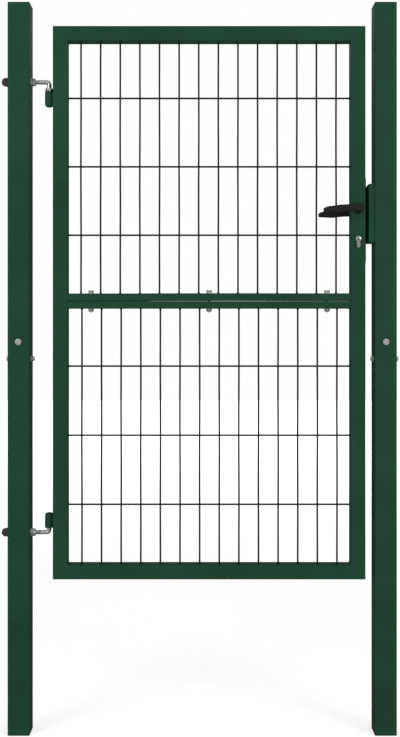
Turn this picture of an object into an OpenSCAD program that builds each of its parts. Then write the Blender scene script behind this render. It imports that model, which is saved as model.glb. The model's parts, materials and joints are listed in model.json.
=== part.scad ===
// Metal garden gate: a hinged leaf of square tube and welded mesh between two
// square posts, with hook hinges, a mortise lock, a lever handle and a keeper.
//
// Origin: centre of the hinge post's foot. +X runs towards the latch post,
// +Y towards the rear, +Z up. Millimetres. The leaf opens towards the front.

/* [Posts] */
// Width and depth of each square post
post_w = 60; // [60:1:70]
// Wall thickness of the post tube
post_t = 1.5; // [1.5:0.5:3]
// Outer corner radius of the post tube
post_r = 4; // [3:0.5:5]
// Full height of a post, cap included
post_h = 2000; // [1990:1:2200]
// Height at which the two lengths of a post meet
post_split = 1000; // [990:1:1010]
// Clear width between the two posts
opening_w = 942; // [930:1:1000]
// Thickness of the post cap's flange
cap_t = 3; // [2:0.5:5]

/* [Leaf] */
// Gap between the hinge post and the leaf
hinge_gap = 62; // [60:1:70]
// Gap between the leaf and the latch post
latch_gap = 24; // [23:1:30]
// Height of the leaf's lower edge above the foot of the posts
leaf_z = 423; // [400:1:440]
// Height of the leaf
leaf_h = 1515; // [1505:1:1530]
// Height at which the two halves of the leaf meet
seam_z = 1185.5; // [1170:0.5:1190]
// Width of the square tube of the leaf's frame
tube_w = 40; // [40:1:42]
// Wall thickness of the frame tube
tube_t = 1.5; // [1.5:0.5:2]
// Outer corner radius of the frame tube
tube_r = 3; // [2.5:0.5:4]
// Height of each of the two middle rails
rail_h = 20; // [20:1:25]
// Gap between the two middle rails
seam_gap = 1.5; // [1:0.5:4]

/* [Mesh] */
// Diameter of a mesh wire
wire_d = 5; // [4:0.5:6]
// Number of upright wires in each panel
wires_x = 14; // [10:1:16]
// Spacing of the upright wires
wire_pitch_x = 54; // [44:0.5:54]
// Number of level wires in each panel
wires_z = 3; // [2:1:3]
// Spacing of the upper panel's level wires
wire_pitch_up = 188.5; // [180:0.5:200]
// Spacing of the lower panel's level wires
wire_pitch_low = 190.5; // [180:0.5:200]
// Height of the middle level wire above the middle of the upper panel
wire_rise_up = 3.5; // [0:0.5:6]
// Height of the middle level wire above the middle of the lower panel
wire_rise_low = 2; // [0:0.5:6]
// Sideways offset of the upper panel's upright wires
wire_side_up = -1.5; // [-3:0.5:3]
// Sideways offset of the lower panel's upright wires
wire_side_low = 1; // [-3:0.5:3]

/* [Hinges] */
// Diameter of the hook rod
rod_d = 12; // [12:0.5:13]
// Radius of the bend in the hook, at the rod's centre
rod_bend = 8; // [8:0.5:10]
// Distance of the hinge axis from the leaf's edge
axis_off = 12; // [12:0.5:14]
// Height of the upper hook rod
hook_z_up = 1788; // [1780:1:1800]
// Height of the lower hook rod
hook_z_low = 549; // [540:1:560]
// Diameter of the hinge barrel on the leaf
lug_d = 24; // [24:1:28]
// Length of the hinge barrel
lug_h = 42; // [38:1:46]
// Radial clearance between pin and barrel
pin_play = 0.1; // [0.05:0.05:0.1]

/* [Lock and handle] */
// Height of the handle's spindle
spindle_z = 1437; // [1430:1:1445]
// Height of the lock cylinder's round part
cyl_z = 1355; // [1350:1:1360]
// Length of the lock's front plate
forend_h = 231; // [225:1:240]
// Height of the front plate's middle
forend_z = 1407; // [1400:1:1410]
// Length of the keeper on the latch post
keeper_h = 160; // [160:1:175]
// Height of the keeper's middle
keeper_z = 1425; // [1420:0.5:1430]
// Distance from the spindle to a lever's tip
lever_l = 100; // [90:1:110]
// Distance of a lever's middle from the leaf's middle
lever_y = 60; // [58:1:66]

/* [Hidden] */
$fn = 48;

// Colours
c_green = [0.13, 0.24, 0.18];
c_zinc = [0.72, 0.74, 0.74];
c_black = [0.06, 0.06, 0.065];
c_nickel = [0.76, 0.75, 0.72];

// Posts
post_in = post_w - 2 * post_t;          // inside width of the post tube
x_latch = post_w + opening_w;           // middle of the latch post
x_face = post_w / 2;                    // inner face of the hinge post
front_bolt_z = post_split + 73;         // bolt that runs front to rear
side_bolt_z = post_split + 27;          // bolt that runs left to right
bolt_hole = 8.6;                        // clearance hole for an 8 mm bolt

// Leaf
x0 = x_face + hinge_gap;                // hinge edge of the leaf
x1 = x_latch - post_w / 2 - latch_gap;  // latch edge of the leaf
z0 = leaf_z;
z1 = leaf_z + leaf_h;
zs = seam_z;
xi0 = x0 + tube_w;                      // inside faces of the stiles
xi1 = x1 - tube_w;
rail_up = zs + seam_gap / 2;            // underside of the upper middle rail
rail_low = zs - seam_gap / 2;           // top of the lower middle rail
frame_bolt_x = [(x0 + x1) / 2 - 325, (x0 + x1) / 2, (x0 + x1) / 2 + 325];

// Hinges
x_axis = x0 - axis_off;
lug_up_top = hook_z_up - 27;            // mouth of the upper barrel
lug_low_bot = hook_z_low + 13;          // mouth of the lower barrel
pin_in = 34;                            // length of pin inside a barrel
nut_af = 19;                            // across the flats of a 12 mm nut

// Lock and handle
x_lock = x1 - tube_w / 2;               // spindle and cylinder axis
forend_t = 2.5;
forend_w = 20;
case_d = 34;                            // depth of the lock case behind the leaf's edge
case_w = 16;
case_h = 150;
case_z = (spindle_z + cyl_z) / 2 + 2;
latch_z = spindle_z + 12;
dead_z = cyl_z + 20;
keeper_x = x1 + 8;                      // face of the keeper that meets the lock
keeper_front = -26;
neck_d = 17;
rose_t = 6;

// ---------- profiles ----------

// Rounded square outline, w by d, corner radius r
module rounded(w, d, r) {
  square([w - 2 * r, d], center = true);
  square([w, d - 2 * r], center = true);
  for (sx = [-1, 1], sy = [-1, 1])
    translate([sx * (w / 2 - r), sy * (d / 2 - r)]) circle(r = r);
}

// Hollow section outline
module hollow(w, d, t, r) {
  difference() {
    rounded(w, d, r);
    rounded(w - 2 * t, d - 2 * t, r - t + 0.01);
  }
}

// Six-sided prism along +Z with a size across its flats
module hex(af, h) {
  cylinder(d = af / cos(30), h = h, $fn = 6);
}

// Cylinder along X, starting at x and h long
module rod_x(x, y, z, d, h) {
  translate([x, y, z]) rotate([0, 90, 0]) cylinder(d = d, h = h);
}

// Cylinder along Y, starting at y and h long
module rod_y(x, y, z, d, h) {
  translate([x, y, z]) rotate([-90, 0, 0]) cylinder(d = d, h = h);
}

// Polygon in the XZ plane, extruded over the depth d and centred on Y
module slab_xz(points, d) {
  rotate([90, 0, 0]) translate([0, 0, -d / 2]) linear_extrude(d) polygon(points);
}

// ---------- posts ----------

module post_tube(h) {
  linear_extrude(h) hollow(post_w, post_w, post_t, post_r);
}

module post_lower(drilled) {
  color(c_green) difference() {
    post_tube(post_split);
    if (drilled) rod_x(-post_w, 0, hook_z_low, rod_d + 0.6, 2 * post_w);
  }
}

module post_upper(drilled) {
  color(c_green) difference() {
    translate([0, 0, post_split]) post_tube(post_h - cap_t - post_split);
    rod_y(0, -post_w, front_bolt_z, bolt_hole, 2 * post_w);
    rod_x(-post_w, 0, side_bolt_z, bolt_hole, 2 * post_w);
    if (drilled) rod_x(-post_w, 0, hook_z_up, rod_d + 0.6, 2 * post_w);
  }
}

// Inner tube that joins the two lengths of a post
module post_sleeve() {
  color(c_green) difference() {
    translate([0, 0, post_split - 100]) linear_extrude(200)
      hollow(post_in - 0.5, post_in - 0.5, post_t, 3.5);
    rod_y(0, -post_w, front_bolt_z, bolt_hole, 2 * post_w);
    rod_x(-post_w, 0, side_bolt_z, bolt_hole, 2 * post_w);
  }
}

// Flat plastic cap with a plug that fits in the tube
module post_cap() {
  color(c_green) {
    translate([0, 0, post_h - cap_t]) linear_extrude(cap_t) rounded(post_w, post_w, post_r);
    translate([0, 0, post_h - cap_t - 14]) linear_extrude(14)
      hollow(post_in - 0.4, post_in - 0.4, 2.5, 4);
  }
}

// 8 mm bolt along Z: washer and head below the origin, washer and nut past the length l
module through_bolt(l) {
  translate([0, 0, -1.6]) cylinder(d = 17.5, h = 1.6);
  translate([0, 0, -6.9]) hex(13, 5.3);
  translate([0, 0, -1.6]) cylinder(d = 8, h = l + 11.1);
  translate([0, 0, l]) cylinder(d = 17.5, h = 1.6);
  translate([0, 0, l + 1.6]) hex(13, 6.5);
}

// One bolt from the front, and one whose head is on the post's left face
module post_bolts() {
  color(c_zinc) {
    translate([0, -post_w / 2, front_bolt_z]) rotate([-90, 0, 0]) through_bolt(post_w);
    translate([-post_w / 2, 0, side_bolt_z]) rotate([0, 90, 0]) through_bolt(post_w);
  }
}

module hinge_post_lower() { post_lower(true); }
module hinge_post_upper() { post_upper(true); }
module hinge_post_sleeve() { post_sleeve(); }
module hinge_post_cap() { post_cap(); }
module hinge_post_bolts() { post_bolts(); }
module latch_post_lower() { translate([x_latch, 0, 0]) post_lower(false); }
module latch_post_upper() { translate([x_latch, 0, 0]) post_upper(false); }
module latch_post_sleeve() { translate([x_latch, 0, 0]) post_sleeve(); }
module latch_post_cap() { translate([x_latch, 0, 0]) post_cap(); }
module latch_post_bolts() { translate([x_latch, 0, 0]) post_bolts(); }

// ---------- hinge hooks ----------

// L-shaped rod through the post; dir is -1 where its pin points down, +1 up
module hook(z, dir, pin_l) {
  x_end = -post_w / 2 - 15;
  color(c_zinc) {
    rod_x(x_end, 0, z, rod_d, x_axis - rod_bend - x_end);
    translate([x_axis - rod_bend, 0, z + dir * rod_bend]) rotate([90, 0, 0])
      rotate([0, 0, dir > 0 ? -90 : 0])
        rotate_extrude(angle = 90) translate([rod_bend, 0]) circle(d = rod_d);
    translate([x_axis, 0, dir > 0 ? z + rod_bend : z - rod_bend - pin_l])
      cylinder(d = rod_d, h = pin_l);
  }
}

module upper_hinge_hook() { hook(hook_z_up, -1, hook_z_up - rod_bend - lug_up_top + pin_in); }
module lower_hinge_hook() { hook(hook_z_low, 1, lug_low_bot - hook_z_low - rod_bend + pin_in); }

// Nut with bevelled corners, along Z from the origin
module nut12(h) {
  difference() {
    intersection() {
      hex(nut_af, h);
      rotate_extrude() polygon([[0, 0], [9.8, 0], [11.2, 1.2], [11.2, h - 1.2], [9.8, h], [0, h]]);
    }
    translate([0, 0, -1]) cylinder(d = rod_d, h = h + 2);
  }
}

// Washer and nut on the inner face of the post, and a nut under the outer cap
module hinge_nuts(z) {
  difference() {
    rod_x(x_face, 0, z, 24, 2);
    rod_x(x_face - 1, 0, z, rod_d, 4);
  }
  translate([x_face + 2, 0, z]) rotate([0, 90, 0]) nut12(10);
  translate([-x_face, 0, z]) rotate([0, -90, 0]) rotate([0, 0, 30]) nut12(8);
}

module upper_hinge_nuts() {
  color(c_zinc) {
    hinge_nuts(hook_z_up);
    translate([x_axis, 0, lug_up_top + 1]) nut12(8.5);
  }
}
module lower_hinge_nuts() { color(c_zinc) hinge_nuts(hook_z_low); }

// Six-sided domed plastic cap over the rod's outer nut
module nut_cap(z) {
  color(c_black) translate([-x_face, 0, z]) rotate([0, -90, 0]) rotate([0, 0, 30]) difference() {
    intersection() {
      hex(22.4, 21);
      union() {
        cylinder(r = 12.4, h = 9);
        translate([0, 0, 9]) intersection() {
          cylinder(r = 12.4, h = 12);
          translate([0, 0, -1]) scale(1) sphere(r = 13.2);
        }
      }
    }
    translate([0, 0, -1]) hex(nut_af + 0.4, 9.5);
    translate([0, 0, -1]) cylinder(d = rod_d + 0.4, h = 17);
  }
}

module upper_hinge_cap() { nut_cap(hook_z_up); }
module lower_hinge_cap() { nut_cap(hook_z_low); }

// Barrel closed at one end with a bore for the pin, welded to the stile.
// It is drawn with its mouth up at the height z; dir = -1 turns it over.
module lug(z, dir) {
  r = lug_d / 2;
  e = 6;
  color(c_green) translate([x_axis, 0, z]) mirror([0, 0, dir > 0 ? 0 : 1]) difference() {
    union() {
      translate([0, 0, -lug_h]) rotate_extrude() {
        square([r - e, lug_h]);
        translate([0, e]) square([r, lug_h - e]);
        intersection() {
          translate([r - e, e]) circle(r = e);
          square([r, lug_h]);
        }
      }
      translate([0, -8, -lug_h + 5]) cube([axis_off, 16, lug_h - 8]);
    }
    translate([0, 0, -pin_in - 2]) cylinder(d = rod_d + 2 * pin_play, h = pin_in + 4);
  }
}

module upper_hinge_lug() { lug(lug_up_top, 1); }
module lower_hinge_lug() { lug(lug_low_bot, -1); }

// ---------- leaf frame ----------

// Upright tube between two heights
module stile_tube(x, za, zb) {
  translate([x + tube_w / 2, 0, za]) linear_extrude(zb - za) hollow(tube_w, tube_w, tube_t, tube_r);
}

// Level tube between two stiles or corners, h high, standing on z
module rail_tube(xa, xb, z, h) {
  translate([xa, 0, z + h / 2]) rotate([0, 90, 0]) linear_extrude(xb - xa) hollow(h, tube_w, tube_t, tube_r);
}

// Stile of the upper half, its top end cut to a mitre
module upper_stile(x, outer) {
  inner = outer == x ? x + tube_w : x;
  intersection() {
    stile_tube(x, zs, z1);
    slab_xz([[outer, zs], [inner, zs], [inner, z1 - tube_w], [outer, z1]], tube_w + 2);
  }
}

// Stile of the lower half, its bottom end cut to a mitre
module lower_stile(x, outer) {
  inner = outer == x ? x + tube_w : x;
  intersection() {
    stile_tube(x, z0, zs);
    slab_xz([[outer, zs], [inner, zs], [inner, z0 + tube_w], [outer, z0]], tube_w + 2);
  }
}

module upper_hinge_stile() { color(c_green) upper_stile(x0, x0); }
module lower_hinge_stile() { color(c_green) lower_stile(x0, x0); }
module lower_latch_stile() { color(c_green) lower_stile(xi1, x1); }

// The upper latch stile carries the lock
module upper_latch_stile() {
  color(c_green) difference() {
    upper_stile(xi1, x1);
    translate([x1 - 5, -case_w / 2 - 0.3, case_z - case_h / 2 - 0.3]) cube([10, case_w + 0.6, case_h + 0.6]);
    rod_y(x_lock, -tube_w, spindle_z, 14, 2 * tube_w);
    translate([x_lock, 0, cyl_z]) rotate([90, 0, 0]) translate([0, 0, -tube_w]) linear_extrude(2 * tube_w) euro(0.3);
  }
}

module top_rail() {
  color(c_green) intersection() {
    rail_tube(x0, x1, z1 - tube_w, tube_w);
    slab_xz([[x0, z1], [xi0, z1 - tube_w], [xi1, z1 - tube_w], [x1, z1]], tube_w + 2);
  }
}

module bottom_rail() {
  color(c_green) intersection() {
    rail_tube(x0, x1, z0, tube_w);
    slab_xz([[x0, z0], [xi0, z0 + tube_w], [xi1, z0 + tube_w], [x1, z0]], tube_w + 2);
  }
}

module mid_rail(z) {
  color(c_green) difference() {
    rail_tube(xi0, xi1, z, rail_h);
    for (x = frame_bolt_x) translate([x, 0, z - 1]) cylinder(d = bolt_hole, h = rail_h + 2);
  }
}

module upper_mid_rail() { mid_rail(rail_up); }
module lower_mid_rail() { mid_rail(rail_low - rail_h); }

// Bolts that hold the two halves of the leaf together
module frame_bolts() {
  color(c_zinc) for (x = frame_bolt_x) translate([x, 0, 0]) {
    translate([0, 0, rail_up + rail_h]) cylinder(d = 16, h = 1.6);
    translate([0, 0, rail_up + rail_h + 1.6]) cylinder(d = 14.2, h = 2);
    translate([0, 0, rail_up + rail_h + 3.6]) hex(13, 5.5);
    translate([0, 0, rail_low - rail_h - 10.5]) cylinder(d = 8, h = 2 * rail_h + seam_gap + 12);
    translate([0, 0, rail_low - rail_h - 1.6]) cylinder(d = 16, h = 1.6);
    translate([0, 0, rail_low - rail_h - 8.1]) hex(13, 6.5);
  }
}

// ---------- mesh ----------

// Welded wire panel between the heights za and zb
module mesh(za, zb, side, pitch, rise) {
  xm = (xi0 + xi1) / 2 + side;
  zm = (za + zb) / 2 + rise;
  off = wire_d * 0.42;
  color(c_green) union() {
    for (i = [0 : wires_x - 1])
      translate([xm + (i - (wires_x - 1) / 2) * wire_pitch_x, -off, za])
        rotate([0, 0, 22.5]) cylinder(d = wire_d, h = zb - za, $fn = 8);
    for (j = [0 : wires_z - 1])
      translate([xi0, off, zm + (j - (wires_z - 1) / 2) * pitch])
        rotate([0, 90, 0]) rotate([0, 0, 22.5]) cylinder(d = wire_d, h = xi1 - xi0, $fn = 8);
  }
}

module upper_mesh() { mesh(rail_up + rail_h, z1 - tube_w, wire_side_up, wire_pitch_up, wire_rise_up); }
module lower_mesh() { mesh(z0 + tube_w, rail_low - rail_h, wire_side_low, wire_pitch_low, wire_rise_low); }

// ---------- lock ----------

// Outline of a profile cylinder, round part at the origin, grown by g
module euro(g) {
  circle(d = 17 + 2 * g);
  translate([-5 - g, -20]) square([10 + 2 * g, 20]);
  translate([0, -20]) circle(r = 5 + g);
}

module lock_case() {
  color(c_zinc) difference() {
    translate([x1 - case_d, -case_w / 2, case_z - case_h / 2]) cube([case_d, case_w, case_h]);
    rod_y(x_lock, -tube_w, spindle_z, 14, 2 * tube_w);
    translate([x_lock, 0, cyl_z]) rotate([90, 0, 0]) translate([0, 0, -tube_w]) linear_extrude(2 * tube_w) euro(0.3);
    translate([x1 - 8.3, -6.3, latch_z - 17.3]) cube([20, 12.6, 34.6]);
    translate([x1 - 8.3, -5.3, dead_z - 17.3]) cube([20, 10.6, 34.6]);
  }
}

module lock_forend() {
  color(c_green) difference() {
    translate([x1, 0, forend_z]) rotate([0, 90, 0]) linear_extrude(forend_t) rounded(forend_h, forend_w, 2.5);
    translate([x1 - 1, -6.3, latch_z - 17.3]) cube([20, 12.6, 34.6]);
    translate([x1 - 1, -5.3, dead_z - 17.3]) cube([20, 10.6, 34.6]);
  }
}

// Latch and dead bolt, both drawn back flush with the front plate
module latch_bolt() {
  color(c_zinc) translate([x1 - 8, -6, latch_z - 17]) cube([8 + forend_t, 12, 34]);
}
module dead_bolt() {
  color(c_zinc) translate([x1 - 8, -5, dead_z - 17]) cube([8 + forend_t, 10, 34]);
}

module lock_cylinder() {
  l = 54;
  color(c_nickel) difference() {
    translate([x_lock, l / 2, cyl_z]) rotate([90, 0, 0]) linear_extrude(l) euro(0);
    for (s = [-1, 1])
      translate([x_lock - 1.1, s > 0 ? l / 2 - 6 : -l / 2 - 1, cyl_z - 4.8]) cube([2.2, 7, 8.8]);
  }
}

// Keeper: a block with two pockets on the post, and a stop lip behind the leaf
module keeper() {
  xp = x_latch - post_w / 2;
  color(c_green) difference() {
    translate([0, 0, keeper_z - keeper_h / 2]) linear_extrude(keeper_h) polygon([
      [keeper_x, keeper_front], [xp, keeper_front], [xp, 28], [x1 - 2, 28],
      [x1 - 2, 25], [xp - 3, 25], [xp - 3, 18], [keeper_x, 18]
    ]);
    translate([keeper_x - 1, -8, latch_z - 20]) cube([13, 16, 40]);
    translate([keeper_x - 1, -8, dead_z - 20]) cube([13, 16, 40]);
    translate([x1 - 5, 20, keeper_z + keeper_h / 2 - 2]) cube([xp - 3 - x1 + 5, 10, 10]);
  }
}

// ---------- handle ----------

// Ring that guides the lever's neck; dir is -1 on the front, +1 on the rear
module rose(dir) {
  y = dir > 0 ? tube_w / 2 : -tube_w / 2 - rose_t;
  color(c_black) difference() {
    rod_y(x_lock, y, spindle_z, 27, rose_t);
    rod_y(x_lock, y - 1, spindle_z, neck_d + 0.2, rose_t + 2);
  }
}

module front_rose() { rose(-1); }
module rear_rose() { rose(1); }

// Square bar that carries both levers
module handle_spindle() {
  color(c_zinc) translate([x_lock - 4, -34, spindle_z - 4]) cube([8, 68, 8]);
}

// Grip seen from the front: round at the neck, hardly narrowing, with a blunt end
module lever_outline() {
  l = lever_l;
  translate([0, -1]) circle(d = 21);
  polygon([
    [0, 9], [-0.2 * l, 7.8], [-0.4 * l, 7.2], [-0.48 * l, 6.9], [-0.56 * l, 6.5],
    [-0.67 * l, 4.5], [-0.77 * l, 3.4], [-0.83 * l, 2.7], [-0.88 * l, 2.2], [-0.936 * l, 0],
    [-0.96 * l, -0.9], [-0.99 * l, -2.6], [-l, -4.5], [-l, -11.5], [-0.99 * l, -12.8],
    [-0.95 * l, -13.9], [-0.81 * l, -14.3], [-0.67 * l, -15.3], [-0.57 * l, -14.9],
    [-0.39 * l, -12.7], [-0.28 * l, -12], [-0.22 * l, -11.5], [0, -11.5]
  ]);
}

// Grip seen from above: its outer end leans a little towards the leaf
module lever_plan() {
  polygon([
    [12, -lever_y - 6.5], [-30, -lever_y - 6.5], [-lever_l - 1, -lever_y - 3.5],
    [-lever_l - 1, -lever_y + 9], [-30, -lever_y + 6.5], [12, -lever_y + 6.5]
  ]);
}

// Lever drawn for the front; dir = +1 mirrors it to the rear
module lever(dir) {
  ls = tube_w / 2 + 0.5;
  color(c_black) translate([x_lock, 0, spindle_z]) mirror([0, dir > 0 ? 1 : 0, 0]) {
    difference() {
      rod_y(0, -lever_y, 0, neck_d, lever_y - ls);
      translate([-4.1, -36, -4.1]) cube([8.2, 30, 8.2]);
    }
    intersection() {
      rotate([90, 0, 0]) linear_extrude(lever_y + 20) lever_outline();
      translate([0, 0, -30]) linear_extrude(60) lever_plan();
    }
  }
}

module front_lever() { lever(-1); }
module rear_lever() { lever(1); }

hinge_post_lower();
hinge_post_upper();
hinge_post_sleeve();
hinge_post_cap();
hinge_post_bolts();
latch_post_lower();
latch_post_upper();
latch_post_sleeve();
latch_post_cap();
latch_post_bolts();
upper_hinge_hook();
lower_hinge_hook();
upper_hinge_nuts();
lower_hinge_nuts();
upper_hinge_cap();
lower_hinge_cap();
keeper();
upper_hinge_stile();
upper_latch_stile();
top_rail();
upper_mid_rail();
upper_mesh();
lower_hinge_stile();
lower_latch_stile();
bottom_rail();
lower_mid_rail();
lower_mesh();
upper_hinge_lug();
lower_hinge_lug();
frame_bolts();
lock_case();
lock_forend();
latch_bolt();
dead_bolt();
lock_cylinder();
front_rose();
rear_rose();
handle_spindle();
front_lever();
rear_lever();
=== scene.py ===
import bpy, bmesh, json, math
from mathutils import Vector, Matrix


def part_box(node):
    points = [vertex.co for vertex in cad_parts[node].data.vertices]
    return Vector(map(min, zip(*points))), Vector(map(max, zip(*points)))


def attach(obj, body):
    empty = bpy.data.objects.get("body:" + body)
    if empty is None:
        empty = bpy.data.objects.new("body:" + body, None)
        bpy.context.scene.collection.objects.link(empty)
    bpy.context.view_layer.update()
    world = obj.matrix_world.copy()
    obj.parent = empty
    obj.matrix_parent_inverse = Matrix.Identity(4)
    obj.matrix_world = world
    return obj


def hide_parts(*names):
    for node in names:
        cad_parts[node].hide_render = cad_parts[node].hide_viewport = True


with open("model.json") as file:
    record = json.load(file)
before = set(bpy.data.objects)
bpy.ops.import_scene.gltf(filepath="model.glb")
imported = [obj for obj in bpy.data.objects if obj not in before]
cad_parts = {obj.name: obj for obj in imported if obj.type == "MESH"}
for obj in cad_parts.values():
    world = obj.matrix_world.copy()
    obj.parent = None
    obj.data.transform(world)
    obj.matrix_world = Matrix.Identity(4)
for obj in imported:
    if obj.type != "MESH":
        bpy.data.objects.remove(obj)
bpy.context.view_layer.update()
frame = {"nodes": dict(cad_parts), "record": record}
NODES = frame["nodes"]
SLOT_OF = {s["node"]: s["material_slot"] for s in frame["record"]["subparts"]}
BODY_OF = {n: b for b, names in frame["record"]["behaviour"]["bodies"].items() for n in names}
MM = 0.001


# ---------------------------------------------------------------- materials

def new_material(name):
    m = bpy.data.materials.new(name)
    m.use_nodes = True
    nt = m.node_tree
    for n in list(nt.nodes):
        nt.nodes.remove(n)
    out = nt.nodes.new("ShaderNodeOutputMaterial")
    p = nt.nodes.new("ShaderNodeBsdfPrincipled")
    nt.links.new(p.outputs["BSDF"], out.inputs["Surface"])
    co = nt.nodes.new("ShaderNodeTexCoord")
    return m, nt, p, co


def noise(nt, co, scale, detail=3.0, rough=0.5, stretch=None):
    src = co.outputs["Object"]
    if stretch:
        mp = nt.nodes.new("ShaderNodeMapping")
        mp.inputs["Scale"].default_value = stretch
        nt.links.new(src, mp.inputs["Vector"])
        src = mp.outputs["Vector"]
    n = nt.nodes.new("ShaderNodeTexNoise")
    n.inputs["Scale"].default_value = scale
    n.inputs["Detail"].default_value = detail
    n.inputs["Roughness"].default_value = rough
    nt.links.new(src, n.inputs["Vector"])
    return n.outputs["Fac"]


def ramp(nt, fac, stops):
    r = nt.nodes.new("ShaderNodeValToRGB")
    e = r.color_ramp.elements
    while len(e) < len(stops):
        e.new(0.5)
    for el, (pos, col) in zip(e, stops):
        el.position = pos
        el.color = (*col, 1.0)
    nt.links.new(fac, r.inputs["Fac"])
    return r.outputs["Color"]


def span(nt, fac, lo, hi, a=0.3, b=0.7):
    r = nt.nodes.new("ShaderNodeMapRange")
    r.inputs["From Min"].default_value = a
    r.inputs["From Max"].default_value = b
    r.inputs["To Min"].default_value = lo
    r.inputs["To Max"].default_value = hi
    nt.links.new(fac, r.inputs["Value"])
    return r.outputs["Result"]


def bump(nt, p, heights):
    prev = None
    for fac, strength, dist in heights:
        b = nt.nodes.new("ShaderNodeBump")
        b.inputs["Strength"].default_value = strength
        b.inputs["Distance"].default_value = dist
        nt.links.new(fac, b.inputs["Height"])
        if prev is not None:
            nt.links.new(prev, b.inputs["Normal"])
        prev = b.outputs["Normal"]
    nt.links.new(prev, p.inputs["Normal"])


def edges(nt, radius):
    """1 along an outer or inner edge, 0 on the flat: how far the rounded normal leaves the true one."""
    bv = nt.nodes.new("ShaderNodeBevel")
    bv.samples = 4
    bv.inputs["Radius"].default_value = radius
    ge = nt.nodes.new("ShaderNodeNewGeometry")
    dot = nt.nodes.new("ShaderNodeVectorMath")
    dot.operation = "DOT_PRODUCT"
    nt.links.new(bv.outputs["Normal"], dot.inputs[0])
    nt.links.new(ge.outputs["Normal"], dot.inputs[1])
    return span(nt, dot.outputs["Value"], 1.0, 0.0, 0.80, 0.995)


def painted_edge_highlight(nt, co, col, mask, edge_col, amount, scale):
    """Lays a lighter edge colour over col where the mask and a patchy noise agree: a painted edge highlight."""
    k = nt.nodes.new("ShaderNodeMath")
    k.operation = "MULTIPLY"
    nt.links.new(mask, k.inputs[0])
    nt.links.new(span(nt, noise(nt, co, scale, 3.0, 0.6), 0.35 * amount, amount, 0.35, 0.65), k.inputs[1])
    mx = nt.nodes.new("ShaderNodeMix")
    mx.data_type = "RGBA"
    nt.links.new(k.outputs[0], mx.inputs["Factor"])
    a, b = [i for i in mx.inputs if i.type == "RGBA"]
    nt.links.new(col, a)
    b.default_value = (*edge_col, 1.0)
    return [o for o in mx.outputs if o.type == "RGBA"][0]


def powder(name, dark, mid, light, r_lo, r_hi, peel=620.0, spec=0.3, edge=None):
    """Coated steel: cloudy depth of colour, fine pigment grain, orange peel and a painted highlight along the edges."""
    m, nt, p, co = new_material(name)
    cloud = noise(nt, co, 5.0, 4.0, 0.55)
    grain = noise(nt, co, 1500.0, 2.0, 0.6)
    add = nt.nodes.new("ShaderNodeMath"); add.operation = "MULTIPLY_ADD"
    add.inputs[1].default_value = 0.30
    nt.links.new(grain, add.inputs[0])
    sub = nt.nodes.new("ShaderNodeMath"); sub.operation = "MULTIPLY"
    sub.inputs[1].default_value = 0.70
    nt.links.new(cloud, sub.inputs[0])
    nt.links.new(sub.outputs[0], add.inputs[2])
    col = ramp(nt, add.outputs[0], [(0.30, dark), (0.50, mid), (0.70, light)])
    if edge:
        # a lighter green along every edge: painted edge highlight
        col = painted_edge_highlight(nt, co, col, edges(nt, 0.0022), edge, 0.8, 70.0)
    nt.links.new(col, p.inputs["Base Color"])
    nt.links.new(span(nt, noise(nt, co, 38.0, 4.0), r_lo, r_hi), p.inputs["Roughness"])
    p.inputs["Specular IOR Level"].default_value = spec
    bump(nt, p, [(noise(nt, co, peel, 2.0, 0.45), 0.22, 0.0004), (noise(nt, co, 55.0, 2.0), 0.05, 0.001)])
    return m


def zinc(name):
    """Bright zinc plate: faint warm and cool clouds, drawing marks, light dulling."""
    m, nt, p, co = new_material(name)
    cloud = noise(nt, co, 120.0, 4.0, 0.6)
    col = ramp(nt, cloud, [(0.30, (0.40, 0.43, 0.41)), (0.50, (0.56, 0.60, 0.57)), (0.72, (0.69, 0.71, 0.66))])
    # a brighter grey along the edges: painted edge highlight
    nt.links.new(painted_edge_highlight(nt, co, col, edges(nt, 0.0006), (0.80, 0.82, 0.80), 0.5, 300.0), p.inputs["Base Color"])
    p.inputs["Metallic"].default_value = 1.0
    nt.links.new(span(nt, noise(nt, co, 260.0, 4.0), 0.26, 0.44), p.inputs["Roughness"])
    bump(nt, p, [(noise(nt, co, 300.0, 3.0, 0.6, (1.0, 8.0, 8.0)), 0.18, 0.0002), (noise(nt, co, 900.0, 2.0), 0.10, 0.0001)])
    return m


def plastic(name, dark, light, r_lo, r_hi, grain=1300.0):
    """Moulded plastic: fine spark-eroded grain, soft flow marks and a painted highlight along the edges."""
    m, nt, p, co = new_material(name)
    col = ramp(nt, noise(nt, co, 42.0, 4.0, 0.6), [(0.32, dark), (0.68, light)])
    # edge colour about twice as light as the plastic: painted edge highlight
    edge_highlight_tone = tuple(c * 1.9 + 0.004 for c in light)
    nt.links.new(painted_edge_highlight(nt, co, col, edges(nt, 0.0012), edge_highlight_tone, 0.7, 160.0), p.inputs["Base Color"])
    nt.links.new(span(nt, noise(nt, co, 90.0, 3.0), r_lo, r_hi), p.inputs["Roughness"])
    p.inputs["Specular IOR Level"].default_value = 0.26
    bump(nt, p, [(noise(nt, co, grain, 2.0, 0.5), 0.20, 0.0002)])
    return m


def nickel(name):
    """Satin nickel: straight fine brushing and faint tarnish."""
    m, nt, p, co = new_material(name)
    nt.links.new(ramp(nt, noise(nt, co, 150.0, 4.0, 0.6), [(0.30, (0.36, 0.38, 0.34)), (0.70, (0.54, 0.56, 0.51))]),
                 p.inputs["Base Color"])
    p.inputs["Metallic"].default_value = 1.0
    nt.links.new(span(nt, noise(nt, co, 400.0, 3.0, 0.6, (1.0, 1.0, 12.0)), 0.22, 0.38), p.inputs["Roughness"])
    bump(nt, p, [(noise(nt, co, 420.0, 3.0, 0.6, (14.0, 1.0, 1.0)), 0.16, 0.00015)])
    return m


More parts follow.
